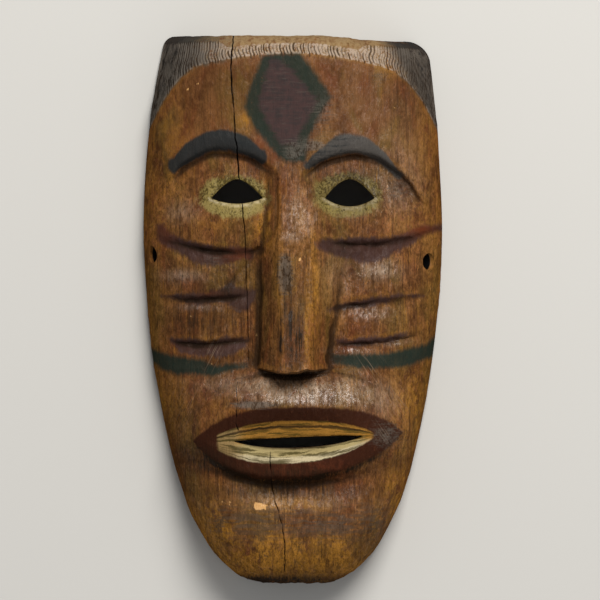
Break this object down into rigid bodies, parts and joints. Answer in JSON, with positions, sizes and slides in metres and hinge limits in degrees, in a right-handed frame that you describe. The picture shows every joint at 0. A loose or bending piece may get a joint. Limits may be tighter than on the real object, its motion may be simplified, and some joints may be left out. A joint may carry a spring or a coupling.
{
  "type": "decorative mask",
  "caption": "Carved and painted wooden face mask, long and narrow, hollow behind, with pierced eyes and mouth and a tie hole in each side wall.",
  "frame": {"origin": "on the plane of the back rim, under the middle of the mask", "axes": "+Y up the forehead, +Z out of the face, +X to the viewer's right"},
  "size_m": [0.165, 0.301, 0.0833],
  "materials": {
    "carved_wood": "aged softwood, oiled and worn, with dark brow and hair paint, dull red, dark green and ochre"
  },
  "bodies": {
    "root": {"mask": "carved_wood"}
  },
  "joints": []
}
